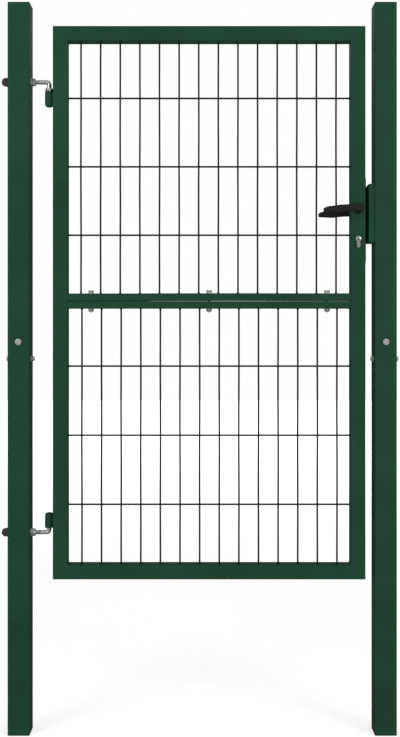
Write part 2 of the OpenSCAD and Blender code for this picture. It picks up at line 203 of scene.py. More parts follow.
MAT = {
    "green_coat": powder("green_powder_coat", (0.0065, 0.039, 0.0190), (0.0088, 0.048, 0.0245), (0.0116, 0.058, 0.031), 0.40, 0.54, spec=0.12,
                         # lighter green of the painted edge highlight
                         edge=(0.022, 0.066, 0.040)),
    # The wire coat is the frame's green made several times darker: painted shade for the shading on the thin wires.
    "green_mesh": powder("green_wire_coat_painted_darker", (0.0035, 0.0105, 0.0066), (0.0050, 0.0145, 0.0092), (0.0068, 0.019, 0.0125), 0.40, 0.54, 800.0, 0.08),
    "green_plastic": plastic("green_moulded_plastic", (0.006, 0.028, 0.014), (0.009, 0.038, 0.020), 0.42, 0.56),
    "zinc": zinc("bright_zinc_plate"),
    "black_plastic": plastic("black_moulded_plastic", (0.0045, 0.0045, 0.0048), (0.0085, 0.0082, 0.0085), 0.34, 0.48),
    "nickel": nickel("satin_nickel"),
}
# The nut covers are black plastic; this copy is painted about six times lighter to stand for the highlights on their
# domes.
CAP_PLASTIC_PAINTED_LIGHT = plastic("black_cap_plastic_painted_lighter", (0.028, 0.028, 0.029), (0.042, 0.042, 0.042), 0.40, 0.54)
for name, ob in NODES.items():
    mat = MAT[SLOT_OF[name]]
    if not ob.material_slots:
        ob.data.materials.append(mat)
    for s in ob.material_slots:
        s.material = mat


# ---------------------------------------------------------------- mesh tools

class Geo:
    """Collects vertices and faces of several shells into one mesh."""

    def __init__(self):
        self.v, self.f = [], []

    def add(self, verts, faces, m=None):
        o = len(self.v)
        self.v += [(m @ Vector(p)) if m else Vector(p) for p in verts]
        self.f += [[i + o for i in q] for q in faces]
        return self


def piece(name, geo, slot, body, stands_for=(), angle=35.0):
    me = bpy.data.meshes.new(name)
    me.from_pydata([tuple(p) for p in geo.v], [], geo.f)
    bm = bmesh.new(); bm.from_mesh(me)
    bmesh.ops.recalc_face_normals(bm, faces=bm.faces)
    finish_shading(bm, angle)
    bm.to_mesh(me); bm.free()
    return place(name, me, slot, body, stands_for)


def finish_shading(bm, angle):
    lim = math.radians(angle)
    for f in bm.faces:
        f.smooth = True
    for e in bm.edges:
        e.smooth = not (len(e.link_faces) == 2 and e.calc_face_angle(0.0) > lim)


def place(name, me, slot, body, stands_for=()):
    me.materials.clear()
    me.materials.append(MAT[slot])
    ob = bpy.data.objects.new(name, me)
    bpy.context.scene.collection.objects.link(ob)
    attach(ob, body)
    if stands_for:
        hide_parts(*stands_for)
    return ob


def softened(node, width, segments=2, angle=40.0):
    """A copy of a CAD node with its sharp edges broken, standing for that node."""
    bm = bmesh.new(); bm.from_mesh(NODES[node].data)
    bmesh.ops.remove_doubles(bm, verts=bm.verts, dist=1e-6)
    lim = math.radians(angle)
    sharp = [e for e in bm.edges if len(e.link_faces) == 2 and e.calc_face_angle(0.0) > lim]
    bmesh.ops.bevel(bm, geom=sharp, offset=width, segments=segments, profile=0.6, affect="EDGES", clamp_overlap=True)
    bmesh.ops.recalc_face_normals(bm, faces=bm.faces)
    finish_shading(bm, 50.0)
    me = bpy.data.meshes.new(node + "_finished")
    bm.to_mesh(me); bm.free()
    ob = place(node + "_finished", me, SLOT_OF[node], BODY_OF[node], (node,))
    wn = ob.modifiers.new("normals", "WEIGHTED_NORMAL")
    wn.keep_sharp = True
    return ob


def aim(loc, direction, roll="Y"):
    """Matrix that takes local +Z to direction and the origin to loc."""
    return Matrix.Translation(Vector(loc)) @ Vector(direction).to_track_quat("Z", roll).to_matrix().to_4x4()


def revolve(profile, n):
    """(radius, height) pairs turned about Z. A radius of 0 closes an end."""
    v, f, rings = [], [], []
    for r, h in profile:
        if r < 1e-9:
            v.append((0, 0, h)); rings.append([len(v) - 1] * n)
        else:
            o = len(v)
            v += [(r * math.cos(2 * math.pi * k / n), r * math.sin(2 * math.pi * k / n), h) for k in range(n)]
            rings.append(list(range(o, o + n)))
    for a, b in zip(rings, rings[1:]):
        for k in range(n):
            q = [a[k], a[(k + 1) % n], b[(k + 1) % n], b[k]]
            q = [i for j, i in enumerate(q) if i not in q[:j]]
            if len(q) > 2:
                f.append(q)
    return v, f


def sweep(points, radius, n=12, caps=True):
    """Round bar along a path. radius is a number or a function of the point's index."""
    pts = [Vector(p) for p in points]
    v, f = [], []
    t = (pts[1] - pts[0]).normalized()
    up = Vector((0, 0, 1)) if abs(t.z) < 0.9 else Vector((1, 0, 0))
    side = t.cross(up).normalized()
    for i, p in enumerate(pts):
        a = (pts[min(i + 1, len(pts) - 1)] - pts[max(i - 1, 0)]).normalized()
        side = (side - a * side.dot(a)).normalized()
        other = a.cross(side)
        r = radius(i) if callable(radius) else radius
        v += [p + side * (r * math.cos(2 * math.pi * k / n)) + other * (r * math.sin(2 * math.pi * k / n)) for k in range(n)]
        if i:
            o = (i - 1) * n
            f += [[o + k, o + (k + 1) % n, o + n + (k + 1) % n, o + n + k] for k in range(n)]
    if caps:
        f.append(list(range(n))[::-1])
        f.append(list(range(len(v) - n, len(v))))
    return v, f


def screw_thread(r, depth, pitch, length, n=30, per=7):
    """A real helix on a shaft from z = 0 to length, both ends closed."""
    rows = int(length / pitch * per) + 1
    v, f = [], []
    for i in range(rows):
        h = length * i / (rows - 1)
        fade = min(1.0, h / pitch, (length - h) / pitch)
        for k in range(n):
            u = (h / pitch - k / n) % 1.0
            cut = max(0.0, 1.0 - abs(u - 0.5) * 2.0 * 1.15)
            rr = r - depth * cut * fade
            v.append((rr * math.cos(2 * math.pi * k / n), rr * math.sin(2 * math.pi * k / n), h))
        if i:
            o = (i - 1) * n
            f += [[o + k, o + (k + 1) % n, o + n + (k + 1) % n, o + n + k] for k in range(n)]
    f.append(list(range(n))[::-1])
    f.append(list(range(len(v) - n, len(v))))
    return v, f


def bead(geo, a, b, r, phase=0.0):
    """Rippled weld bead from a to b, centred on the corner between two faces."""
    a, b = Vector(a), Vector(b)
    n = max(6, int((b - a).length / 0.0007))
    pts = [a.lerp(b, i / n) for i in range(n + 1)]

    def rad(i):
        end = min(1.0, 0.45 + min(i, n - i) * 0.22)
        s = (b - a).length * i / n
        return r * end * (1.0 + 0.10 * math.sin(s / 0.0021 * 2 * math.pi + phase) + 0.05 * math.sin(s / 0.0083 * 2 * math.pi + 1.7 * phase))
    geo.add(*sweep(pts, rad, 10))


def curve_at(points, x):
    """Smooth value at x through (x, value) pairs with rising x."""
    xs = [p[0] for p in points]; ys = [p[1] for p in points]
    if x <= xs[0]:
        return ys[0]
    if x >= xs[-1]:
        return ys[-1]
    i = max(j for j in range(len(xs) - 1) if xs[j] <= x)

    def slope(j):
        if j == 0:
            return (ys[1] - ys[0]) / (xs[1] - xs[0])
        if j == len(xs) - 1:
            return (ys[-1] - ys[-2]) / (xs[-1] - xs[-2])
        return (ys[j + 1] - ys[j - 1]) / (xs[j + 1] - xs[j - 1])
    h = xs[i + 1] - xs[i]; t = (x - xs[i]) / h
    return ((2 * t ** 3 - 3 * t ** 2 + 1) * ys[i] + (t ** 3 - 2 * t ** 2 + t) * h * slope(i)
            + (-2 * t ** 3 + 3 * t ** 2) * ys[i + 1] + (t ** 3 - t ** 2) * h * slope(i + 1))


# ---------------------------------------------------------------- places, all from the CAD frame

def mid(node):
    lo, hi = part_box(node)
    return (lo + hi) / 2


P_LO, P_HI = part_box("hinge_post_lower")
L_LO, L_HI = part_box("latch_post_lower")
S_LO, S_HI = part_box("lower_hinge_stile")          # hinge stile
T_LO, T_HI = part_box("upper_latch_stile")          # latch stile
TOP_LO, TOP_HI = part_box("top_rail")
BOT_LO, BOT_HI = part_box("bottom_rail")
UM_LO, UM_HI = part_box("upper_mid_rail")
LM_LO, LM_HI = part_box("lower_mid_rail")
TUBE = S_HI.x - S_LO.x
XI0, XI1 = S_HI.x, T_LO.x                          # inner faces of the stiles
X_LOCK = (T_LO.x + T_HI.x) / 2
Z_SPINDLE = mid("handle_spindle").z
SPIN = mid("front_rose")


# ---------------------------------------------------------------- steel tubes, caps, keeper: edges broken

for n in ("hinge_post_lower", "hinge_post_upper", "latch_post_lower", "latch_post_upper"):
    softened(n, 0.0005)
for n in ("upper_hinge_stile", "upper_latch_stile", "lower_hinge_stile", "lower_latch_stile", "top_rail", "bottom_rail"):
    softened(n, 0.0004)
for n in ("hinge_post_cap", "latch_post_cap"):
    softened(n, 0.0009, 3)
softened("keeper", 0.0009, 3)
softened("lock_forend", 0.0004)
softened("latch_bolt", 0.0006, 3)
softened("dead_bolt", 0.0006, 3)
softened("front_rose", 0.0012, 4)
softened("rear_rose", 0.0012, 4)


# ---------------------------------------------------------------- middle rails, drawn a little apart by their bolts

def part_way(x):
    """How far the upper middle rail stands above its straight CAD place at x; the lower one is straight."""
    t = (x - XI0) / (XI1 - XI0)
    return curve_at([(-0.05, -0.42), (0.20, -0.38), (0.265, -0.25), (0.285, -0.08), (0.311, 0.04), (0.34, 0.09), (0.40, 0.13),
                     (0.49, 0.14), (0.52, 0.30), (0.68, 0.30), (0.71, 0.24), (0.74, 0.14), (0.79, 0.08), (0.85, 0.03), (1.05, 0.02)], t) * MM


def mid_rail(name, node, s):
    lo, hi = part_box(node)
    c = (lo + hi) / 2
    hy, hz = (hi.y - lo.y) / 2, (hi.z - lo.z) / 2
    outline = []
    for sy, sz, a0 in ((1, 1, 0), (-1, 1, 90), (-1, -1, 180), (1, -1, 270)):
        r = (3.0 if sz == s else 1.2) * MM         # the edges that face the seam are sharper
        cy, cz = sy * (hy - r), sz * (hz - r)
        outline += [(cy + r * math.cos(math.radians(a0 + a)), cz + r * math.sin(math.radians(a0 + a))) for a in (0, 15, 30, 45, 60, 75, 90)]
    n, m = 64, len(outline)
    v, f = [], []
    for i in range(n + 1):
        x = lo.x + (hi.x - lo.x) * i / n
        v += [(x, c.y + y, c.z + z + (part_way(x) if s > 0 else 0.0)) for y, z in outline]
        if i:
            o = (i - 1) * m
            f += [[o + k, o + (k + 1) % m, o + m + (k + 1) % m, o + m + k] for k in range(m)]
    f.append(list(range(m))[::-1])
    f.append(list(range(len(v) - m, len(v))))
    return piece(name, Geo().add(v, f), "green_coat", "leaf", (node,), 50.0)


mid_rail("upper_middle_rail", "upper_mid_rail", 1)
mid_rail("lower_middle_rail", "lower_mid_rail", -1)


# ---------------------------------------------------------------- bolts, nuts and washers

def rings_solid(rings):
    """Rings of equal length joined in order, both ends closed. Points in millimetres."""
    n = len(rings[0])
    v = [(x * MM, y * MM, z * MM) for r in rings for x, y, z in r]
    f = []
    for i in range(len(rings) - 1):
        o = i * n
        f += [[o + k, o + (k + 1) % n, o + n + (k + 1) % n, o + n + k] for k in range(n)]
    f.append(list(range(n))[::-1])
    f.append(list(range(len(v) - n, len(v))))
    return v, f


def ring(z, r=None, af=None, cap=None, n=72):
    """A circle of radius r, or a hexagon af across its flats whose corners are cut at radius cap."""
    out = []
    for k in range(n):
        a = 2 * math.pi * k / n
        q = r if af is None else af / 2 / math.cos((a % (math.pi / 3)) - math.pi / 6)
        q = min(q, cap) if cap else q
        out.append((q * math.cos(a), q * math.sin(a), z))
    return out


def hex_nut(g, m, af, h, both=True):
    g.add(*rings_solid([ring(0, af=af, cap=af / 2 * (0.985 if both else 1.15)), ring(0.45, af=af, cap=af / 2 * 1.045),
                        ring(1.2, af=af, cap=af / 2 * 1.16), ring(h - 1.2, af=af, cap=af / 2 * 1.16),
                        ring(h - 0.45, af=af, cap=af / 2 * 1.045), ring(h, af=af, cap=af / 2 * 0.985)]), m=m)


def washer(g, m, r, h):
    g.add(*rings_solid([ring(0, r - 0.25), ring(0.25, r), ring(h - 0.35, r), ring(h - 0.1, r - 0.12), ring(h, r - 0.4)]), m=m)


def spring_washer(g, m, r, hole, h):
    """Split ring whose ends stand slightly apart."""
    v, f, n = [], [], 54
    for i in range(n + 1):
        a = 0.07 + (2 * math.pi - 0.14) * i / n
        z = 0.12 * (i / n - 0.5)
        for rr, zz in ((hole, 0.1), (r, 0.1), (r, h - 0.1), (hole, h - 0.1)):
            v.append((rr * math.cos(a) * MM, rr * math.sin(a) * MM, (zz + z) * MM))
        if i:
            o = (i - 1) * 4
            f += [[o + k, o + (k + 1) % 4, o + 4 + (k + 1) % 4, o + 4 + k] for k in range(4)]
    f.append([3, 2, 1, 0]); f.append([len(v) - 4 + k for k in range(4)])
    g.add(v, f, m=m)


def bolt_head(g, m, af, h):
    """Hexagon head: washer face below, bevelled corners and a shallow dish on top."""
    g.add(*rings_solid([ring(0, af=af, cap=af / 2 * 1.15), ring(0.3, af=af, cap=af / 2 * 1.16), ring(h - 1.0, af=af, cap=af / 2 * 1.16),
                        ring(h - 0.3, af=af, cap=af / 2 * 1.03), ring(h, af / 2 * 0.955), ring(h - 0.12, af / 2 * 0.84),
                        ring(h - 0.2, af / 2 * 0.45)]), m=m)


def post_hardware(name, node, xc):
    """Two 8 mm bolts: one from the front, and one whose head is on the post's left face."""
    g = Geo()
    z_split = P_HI.z
    half = (P_HI.x - P_LO.x) / 2
    for loc, d in (((xc, -half, z_split + 73 * MM), (0, -1, 0)), ((xc - half, 0, z_split + 27 * MM), (-1, 0, 0))):
        loc, d = Vector(loc), Vector(d)
        washer(g, aim(loc, d), 8.75, 1.6)
        bolt_head(g, aim(loc + d * 1.6 * MM, d), 13.0, 5.3)
        back = loc - d * 2 * half
        washer(g, aim(back, -d), 8.75, 1.6)
        hex_nut(g, aim(back - d * 1.6 * MM, -d), 13.0, 6.5)
        g.add(*screw_thread(4 * MM, 0.6 * MM, 1.25 * MM, 17.2 * MM, 30, 8), m=aim(back + d * 8 * MM, -d))
        g.add(*rings_solid([ring(0, 3.45), ring(0.28, 3.1)]), m=aim(back - d * 9.2 * MM, -d))
        g.add(*rings_solid([ring(0, 3.95), ring(54.0, 3.95)]), m=aim(loc, -d))
    return piece(name, g, "zinc", "posts", (node,), 30.0)


post_hardware("hinge_post_hardware", "hinge_post_bolts", (P_LO.x + P_HI.x) / 2)
post_hardware("latch_post_hardware", "latch_post_bolts", (L_LO.x + L_HI.x) / 2)


def frame_hardware():
    g = Geo()
    lo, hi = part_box("frame_bolts")
    for x in (lo.x + 8 * MM, (lo.x + hi.x) / 2, hi.x - 8 * MM):
        z_up, z_dn = UM_HI.z + part_way(x), LM_LO.z
        up = aim((x, 0, z_up), (0, 0, 1)); dn = aim((x, 0, z_dn), (0, 0, -1))
        washer(g, up, 8.0, 1.6)
        spring_washer(g, aim((x, 0, z_up + 1.6 * MM), (0, 0, 1)), 7.1, 4.2, 2.0)
        bolt_head(g, aim((x, 0, z_up + 3.6 * MM), (0, 0, 1)), 13.0, 5.5)
        washer(g, dn, 8.0, 1.6)
        hex_nut(g, aim((x, 0, z_dn - 1.6 * MM), (0, 0, -1)), 13.0, 6.5)
        g.add(*rings_solid([ring(0, 3.95), ring((z_up - z_dn) / MM + 4, 3.95)]), m=aim((x, 0, z_dn - 1 * MM), (0, 0, 1)))
        g.add(*screw_thread(4 * MM, 0.6 * MM, 1.25 * MM, 9.2 * MM, 30, 8), m=aim((x, 0, z_dn - 1 * MM), (0, 0, -1)))
        g.add(*rings_solid([ring(0, 3.45), ring(0.3, 3.1)]), m=aim((x, 0, z_dn - 10.2 * MM), (0, 0, -1)))
    return piece("frame_hardware", g, "zinc", "leaf", ("frame_bolts",), 30.0)


frame_hardware()


def hinge_hardware(name, node, hook_node, cap_node, pin):
    g = Geo()
    hlo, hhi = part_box(hook_node)
    z = hhi.z - 6 * MM if pin else hlo.z + 6 * MM
    washer(g, aim((P_HI.x, 0, z), (1, 0, 0)), 12.0, 2.0)
    hex_nut(g, aim((P_HI.x + 2 * MM, 0, z), (1, 0, 0)), 19.0, 10.0)
    hex_nut(g, aim((P_LO.x, 0, z), (-1, 0, 0)), 19.0, 8.0)
    if pin:
        x = hhi.x - 6 * MM
        hex_nut(g, aim((x, 0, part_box("upper_hinge_lug")[1].z + 1 * MM), (0, 0, 1)), 19.0, 8.5)
    return piece(name, g, "zinc", "posts", (node,), 30.0)


hinge_hardware("upper_hinge_hardware", "upper_hinge_nuts", "upper_hinge_hook", "upper_hinge_cap", True)
hinge_hardware("lower_hinge_hardware", "lower_hinge_nuts", "lower_hinge_hook", "lower_hinge_cap", False)


# ---------------------------------------------------------------- welded wire panels

def wire_panel(name, node, side, pitch, rise):
    lo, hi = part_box(node)
    r = 2.5 * MM
    yf, yr = lo.y + r, hi.y - r                    # centres of the uprights and of the level wires
    xm = (lo.x + hi.x) / 2 + side; zm = (lo.z + hi.z) / 2 + rise
    xs = [xm + (i - 6.5) * 54 * MM for i in range(14)]
    zs = [zm + (j - 1) * pitch for j in range(3)]
    low = part_way if lo.z > LM_HI.z else (lambda x: 0.0)
    g = Geo()
    for i, x in enumerate(xs):
        # a drawn wire is never quite straight: under 0.35 mm either way, still on the weld at each crossing
        k = 24
        pts = []
        for j in range(k + 1):
            t = j / k
            za, zb = lo.z + low(x) - 0.8 * MM, hi.z + 0.8 * MM     # each end stands in its weld
            z = za + (zb - za) * t
            off = 0.00035 * math.sin(3.1 * t * math.pi + i * 2.3) * math.sin(math.pi * t)
            pts.append((x + off, yf, z))
        g.add(*sweep(pts, r, 14))
        for z, d in ((lo.z + low(x), 1), (hi.z, -1)):       # fillet of weld at each end
            g.add(*revolve([(4.6 * MM, 0), (3.9 * MM, 0.7 * MM), (3.1 * MM, 1.8 * MM), (2.55 * MM, 3.4 * MM), (0, 3.4 * MM)], 14),
                  m=aim((x, yf, z), (0, 0, d)))
    for z in zs:
        g.add(*sweep([(lo.x + (hi.x - lo.x) * j / 28, yr, z) for j in range(29)], r, 14))
        for x, d in ((lo.x, 1), (hi.x, -1)):
            g.add(*revolve([(4.6 * MM, 0), (3.9 * MM, 0.7 * MM), (3.1 * MM, 1.8 * MM), (2.55 * MM, 3.4 * MM), (0, 3.4 * MM)], 14),
                  m=aim((x, yr, z), (d, 0, 0)))
    for i, x in enumerate(xs):                     # pressed resistance weld at each crossing
        for j, z in enumerate(zs):
            s = 1.0 + 0.08 * math.sin(i * 1.9 + j * 2.7)
            v, f = revolve([(0, -1)] + [(math.cos(a), math.sin(a)) for a in (-1.1, -0.7, -0.3, 0, 0.3, 0.7, 1.1)] + [(0, 1)], 14)
            v = [(px * 3.5 * MM * s, pz * 3.0 * MM, py * 3.5 * MM * s) for px, py, pz in v]
            g.add(v, f, m=Matrix.Translation((x, (yf + yr) / 2, z)))
    return piece(name, g, "green_mesh", "leaf", (node,), 50.0)


wire_panel("upper_wire_panel", "upper_mesh", -1.5 * MM, 188.5 * MM, 3.5 * MM)
wire_panel("lower_wire_panel", "lower_mesh", 1.0 * MM, 190.5 * MM, 2.0 * MM)


# ---------------------------------------------------------------- welds on the leaf and the posts

def frame_welds():
    g = Geo()
    y0, y1 = S_LO.y + 3.2 * MM, S_HI.y - 3.2 * MM
    for x in (XI0, XI1):                           # inside corners of the frame, and the middle rails
        for k, z in enumerate((TOP_LO.z, BOT_HI.z, UM_HI.z + part_way(x), LM_LO.z)):
            bead(g, (x, y0, z), (x, y1, z), 1.7 * MM, k + x * 9)
    for x in (XI0, XI1):                           # short runs on the flush faces of the middle rails
        for z0, z1 in ((UM_LO.z, UM_HI.z), (LM_LO.z, LM_HI.z)):
            for y, s in ((S_LO.y, 1), (S_HI.y, -1)):
                bead(g, (x, y + s * 0.9 * MM, z0 + 3.2 * MM), (x, y + s * 0.9 * MM, z1 - 3.2 * MM), 1.3 * MM, z0 * 7 + s)
    c = [((S_LO.x, TOP_HI.z), (XI0, TOP_LO.z)), ((T_HI.x, TOP_HI.z), (XI1, TOP_LO.z)),
         ((S_LO.x, BOT_LO.z), (XI0, BOT_HI.z)), ((T_HI.x, BOT_LO.z), (XI1, BOT_HI.z))]
    for k, ((ax, az), (bx, bz)) in enumerate(c):   # mitres, welded and dressed nearly flush
        for y, s in ((S_LO.y, 1), (S_HI.y, -1)):
            a, b = Vector((ax, y + s * 1.15 * MM, az)), Vector((bx, y + s * 1.15 * MM, bz))
            bead(g, a.lerp(b, 0.09), a.lerp(b, 0.97), 1.4 * MM, k * 1.3 + s)
    return piece("frame_welds", g, "green_coat", "leaf", (), 60.0)


def lug_welds():
    g = Geo()
    for node in ("upper_hinge_lug", "lower_hinge_lug"):
        lo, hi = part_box(node)
        up = node.startswith("upper")
        za, zb = (lo.z + 5 * MM, hi.z - 3 * MM) if up else (lo.z + 3 * MM, hi.z - 5 * MM)
        for y in (-8 * MM, 8 * MM):
            bead(g, (S_LO.x, y, za), (S_LO.x, y, zb), 2.2 * MM, y * 900)
        for z in (za, zb):
            bead(g, (S_LO.x, -7 * MM, z), (S_LO.x, 7 * MM, z), 1.9 * MM, z * 40)
    return piece("hinge_lug_welds", g, "green_coat", "leaf", (), 60.0)


def keeper_welds():
    g = Geo()
    lo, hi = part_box("keeper")
    x = L_LO.x
    for y in (lo.y,):
        for a, b in ((0.04, 0.24), (0.40, 0.60), (0.76, 0.96)):
            bead(g, (x, y, lo.z + (hi.z - lo.z) * a), (x, y, lo.z + (hi.z - lo.z) * b), 2.0 * MM, a * 20)
    for z in (lo.z, hi.z):
        bead(g, (x, lo.y + 2 * MM, z), (x, 17 * MM, z), 2.0 * MM, z * 11)
    return piece("keeper_welds", g, "green_coat", "posts", (), 60.0)


frame_welds(); lug_welds(); keeper_welds()


# ---------------------------------------------------------------- hinge lugs

def barrel(name, node, mouth_up):
    lo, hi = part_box(node)
    x = lo.x + 12 * MM
    h = hi.z - lo.z
    prof = [(0, 0), (3.2, 0.10), (6.0, 0.55), (8.6, 1.7), (10.6, 3.6), (11.7, 5.9), (12.0, 8.2), (12.0, h / MM - 1.1),
            (11.7, h / MM - 0.35), (11.1, h / MM), (6.9, h / MM), (6.25, h / MM - 0.7), (6.15, h / MM - 36), (0, h / MM - 36)]
    g = Geo()
    m = aim((x, 0, lo.z if mouth_up else hi.z), (0, 0, 1 if mouth_up else -1), "Y")
    g.add(*revolve([(a * MM, b * MM) for a, b in prof], 48), m=m)
    za, zb = (lo.z + 5 * MM, hi.z - 3 * MM) if mouth_up else (lo.z + 3 * MM, hi.z - 5 * MM)
    bm = bmesh.new()
    bmesh.ops.create_cube(bm, size=1.0)
    for v in bm.verts:
        v.co = Vector((x + 8.8 * MM + (v.co.x + 0.5) * (S_LO.x - x - 8.8 * MM), v.co.y * 16 * MM, za + (v.co.z + 0.5) * (zb - za)))
    bmesh.ops.bevel(bm, geom=bm.edges[:], offset=0.8 * MM, segments=3, profile=0.5, affect="EDGES")
    bm.verts.index_update()
    g.add([v.co.copy() for v in bm.verts], [[v.index for v in f.verts] for f in bm.faces])
    bm.free()
    return piece(name, g, "green_coat", "leaf", (node,), 40.0)


barrel("upper_hinge_barrel", "upper_hinge_lug", True)
barrel("lower_hinge_barrel", "lower_hinge_lug", False)


# ---------------------------------------------------------------- hinge hooks with rolled threads

def hook(name, node, down):
    lo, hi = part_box(node)
    r = 6 * MM
    z = hi.z - r if down else lo.z + r
    s = -1 if down else 1
    x_ax = hi.x - r
    bend = 8 * MM
    end = lo.z if down else hi.z
    g = Geo()
    x_thread = P_HI.x + 26 * MM                    # thread stops a little past the nut
    g.add(*screw_thread(r, 0.95 * MM, 1.75 * MM, x_thread - lo.x), m=aim((lo.x, 0, z), (1, 0, 0)))
    pts = [(x_thread - 0.4 * MM + (x_ax - bend - x_thread) * t / 6, 0, z) for t in range(7)]
    for k in range(1, 13):
        a = math.pi / 2 * k / 12
        pts.append((x_ax - bend + bend * math.sin(a), 0, z + s * bend * (1 - math.cos(a))))
    z2 = z + s * bend
    last = end - s * 1.2 * MM
    pts += [(x_ax, 0, z2 + (last - z2) * t / 8) for t in range(1, 9)]
    pts.append((x_ax, 0, end))
    n = len(pts)
    g.add(*sweep(pts, lambda i: r * 0.82 if i == n - 1 else r, 28))
    return piece(name, g, "zinc", "posts", (node,), 48.0)


hook("upper_threaded_hook", "upper_hinge_hook", True)
hook("lower_threaded_hook", "lower_hinge_hook", False)


def cap_on_nut(name, node):
    lo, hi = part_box(node)
    c = (lo + hi) / 2
    h = hi.x - lo.x
    af = 22.4 * MM / 2
    n, rows = 60, 26
    v, f = [], []
    for i in range(rows + 1):
        t = i / rows
        ax = h * min(1.0, t * 1.02) if t < 0.42 else h * (0.43 + 0.57 * math.sin((t - 0.42) / 0.58 * math.pi / 2))
        q = max(0.0, (ax / h - 0.43) / 0.57)
        shrink = math.sqrt(max(0.0, 1 - (q * 0.985) ** 2.4))
        foot = 1.0 - 0.035 * max(0.0, 1 - i / 1.5)
        for k in range(n):
            a = 2 * math.pi * k / n
            w = (a % (math.pi / 3)) - math.pi / 6
            hexr = af / math.cos(w)
            rr = min(hexr, af * 1.115) * (1 - 0.6 * q) + af * 0.6 * q
            v.append((rr * shrink * foot * math.cos(a), rr * shrink * foot * math.sin(a), ax))
        if i:
            o = (i - 1) * n
            f += [[o + k, o + (k + 1) % n, o + n + (k + 1) % n, o + n + k] for k in range(n)]
    f.append(list(range(n))[::-1])
    f.append(list(range(len(v) - n, len(v))))
    g = Geo().add(v, f, m=aim((hi.x, c.y, c.z), (-1, 0, 0)))
    ob = piece(name, g, "black_plastic", "posts", (node,), 42.0)
    # the black cover gets the lightened copy: painted highlight
    ob.data.materials[0] = CAP_PLASTIC_PAINTED_LIGHT
    return ob


cap_on_nut("upper_nut_cover", "upper_hinge_cap")
cap_on_nut("lower_nut_cover", "lower_hinge_cap")


# ---------------------------------------------------------------- lever handles

def lever(name, node, side):
    """Smooth grip lofted along its length and fused with its neck. side is -1 on the front."""
    tip = -100 * MM
    top = [(-100, -4.5), (-99, -2.6), (-96, -0.9), (-93.6, 0), (-88, 2.2), (-83, 2.7), (-77, 3.4), (-67, 4.5), (-56, 6.5), (-48, 6.9),
           (-40, 7.2), (-20, 7.8), (0, 9)]
    bot = [(-100, -11.5), (-99, -12.8), (-95, -13.9), (-81, -14.3), (-67, -15.3), (-57, -14.9), (-39, -12.7), (-28, -12), (-22, -11.5), (0, -11.5)]
    n = 40
    xs = [tip / MM + (10.5 - tip / MM) * (0.5 - 0.5 * math.cos(math.pi * i / 60)) for i in range(61)]
    v, f = [], []
    for i, x in enumerate(xs):
        if x <= 0:
            zt, zb = curve_at(top, x), curve_at(bot, x)
        else:
            e = math.sqrt(max(0.0, 1 - (x / 10.5) ** 2)); zt, zb = -1 + 10.5 * e, -1 - 10.5 * e
        t = min(1.0, max(0.0, (-30 - x) / 70.0))
        yc = 60 - 2.75 * t
        half = 6.5 - 0.25 * t
        close = min(1.0, math.sqrt(max(0.0, (x - xs[0]) / 5.0)) + 0.30, math.sqrt(max(0.0, (10.5 - x) / 6.0)) + 0.12)
        hz, cz = max(0.3, (zt - zb) / 2), (zt + zb) / 2
        hy = half * close
        for k in range(n):
            a = 2 * math.pi * k / n
            ca, sa = math.cos(a), math.sin(a)
            p = 0.62
            z = cz + hz * math.copysign(abs(sa) ** p, sa)
            v.append((X_LOCK + x * MM, side * (yc + hy * math.copysign(abs(ca) ** p, ca)) * MM, Z_SPINDLE + z * MM))
        if i:
            o = (i - 1) * n
            f += [[o + k, o + (k + 1) % n, o + n + (k + 1) % n, o + n + k] for k in range(n)]
    f.append(list(range(n))[::-1])
    f.append(list(range(len(v) - n, len(v))))
    g = Geo().add(v, f)
    neck = [(0, 20.5), (7.9, 20.5), (8.5, 21.1), (8.5, 42), (8.7, 46), (9.2, 49.5), (9.8, 52.5), (10.0, 58), (0, 58)]
    g.add(*revolve([(a * MM, b * MM) for a, b in neck], 48), m=aim((X_LOCK, 0, Z_SPINDLE), (0, side, 0)))
    me = bpy.data.meshes.new(name)
    me.from_pydata([tuple(p) for p in g.v], [], g.f)
    bm = bmesh.new(); bm.from_mesh(me)
    bmesh.ops.recalc_face_normals(bm, faces=bm.faces)
    bm.to_mesh(me); bm.free()
    tmp = bpy.data.objects.new(name + "_rough", me)
    bpy.context.scene.collection.objects.link(tmp)
    rm = tmp.modifiers.new("fuse", "REMESH"); rm.mode = "VOXEL"; rm.voxel_size = 0.0009; rm.use_smooth_shade = True
    sm = tmp.modifiers.new("blend", "SMOOTH"); sm.factor = 0.5; sm.iterations = 5
    dg = bpy.context.evaluated_depsgraph_get()
    out = bpy.data.meshes.new_from_object(tmp.evaluated_get(dg))
    out.name = name
    bpy.data.objects.remove(tmp)
    for p in out.polygons:
        p.use_smooth = True
    return place(name, out, "black_plastic", "handle", (node,))


lever("front_lever_grip", "front_lever", -1)
lever("rear_lever_grip", "rear_lever", 1)


# ---------------------------------------------------------------- lock cylinder, screws

def euro_outline(grow=0.0, n=40):
    r, w, drop = 8.5 + grow, 5.0 + grow, -20.0
    a0 = math.asin(w / r)
    pts = []
    for k in range(n + 1):
        a = -math.pi / 2 + a0 + (2 * math.pi - 2 * a0) * k / n
        pts.append((r * math.cos(a), r * math.sin(a)))
    pts += [(-w, -12), (-w, -16)]
    for k in range(1, 15):
        a = math.pi + math.pi * k / 14
        pts.append((w * math.cos(a), drop + w * math.sin(a)))
    pts += [(w, -16), (w, -12)]
    return pts


